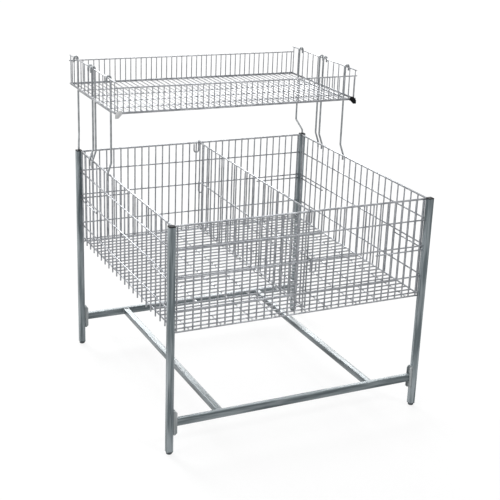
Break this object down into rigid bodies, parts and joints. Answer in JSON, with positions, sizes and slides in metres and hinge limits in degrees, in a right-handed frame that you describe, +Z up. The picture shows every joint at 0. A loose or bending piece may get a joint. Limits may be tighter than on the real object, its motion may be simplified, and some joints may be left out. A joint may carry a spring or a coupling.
{
  "type": "retail dump bin",
  "caption": "Square wire dump bin on tube legs with a loose divider, and a lift-off wire tray held on bent rods above its rear half.",
  "frame": {"origin": "on the floor, under the middle of the outline of bin and tray together", "axes": "+Z up, +Y to the rear side over which the tray stands, +X to the right seen from the front"},
  "size_m": [1.1, 1.2106, 1.2945],
  "materials": {
    "tube_steel": "satin plated steel tube",
    "bright_wire": "bright plated welded wire",
    "black_plastic": "moulded black plastic",
    "grey_plastic": "moulded pale grey plastic",
    "bolt_steel": "zinc plated bolts"
  },
  "bodies": {
    "frame": {"leg_front_left": "tube_steel", "leg_front_right": "tube_steel", "leg_rear_left": "tube_steel", "leg_rear_right": "tube_steel", "leg_cap_front_left": "black_plastic", "leg_cap_front_right": "black_plastic", "leg_cap_rear_left": "black_plastic", "leg_cap_rear_right": "black_plastic", "foot_front_left": "black_plastic", "foot_front_right": "black_plastic", "foot_rear_left": "black_plastic", "foot_rear_right": "black_plastic", "crossbar_front": "tube_steel", "crossbar_rear": "tube_steel", "stretcher_left": "tube_steel", "stretcher_right": "tube_steel", "claw_front_left": "tube_steel", "claw_front_right": "tube_steel", "claw_rear_left": "tube_steel", "claw_rear_right": "tube_steel", "claw_bolt_upper_front_left": "bolt_steel", "claw_bolt_lower_front_left": "bolt_steel", "claw_bolt_upper_front_right": "bolt_steel", "claw_bolt_lower_front_right": "bolt_steel", "claw_bolt_upper_rear_left": "bolt_steel", "claw_bolt_lower_rear_left": "bolt_steel", "claw_bolt_upper_rear_right": "bolt_steel", "claw_bolt_lower_rear_right": "bolt_steel", "wall_front": "bright_wire", "wall_rear": "bright_wire", "wall_left": "bright_wire", "wall_right": "bright_wire", "floor_grid": "bright_wire"},
    "divider": {"divider": "bright_wire"},
    "upper_tray": {"tray_wall_front": "bright_wire", "tray_wall_rear": "bright_wire", "tray_wall_left": "bright_wire", "tray_wall_right": "bright_wire", "tray_floor": "bright_wire", "tray_clip_left": "grey_plastic", "tray_clip_right": "black_plastic", "support_left_front": "tube_steel", "support_left_rear": "tube_steel", "support_right_front": "tube_steel", "support_right_rear": "tube_steel"}
  },
  "joints": [
    {"name": "tray_lift", "type": "slide", "parent": "frame", "child": "upper_tray", "axis": [0, 0, 1], "range_m": [0, 0.25]},
    {"name": "divider_lift", "type": "slide", "parent": "frame", "child": "divider", "axis": [0, 0, 1], "range_m": [0, 0.09]}
  ]
}
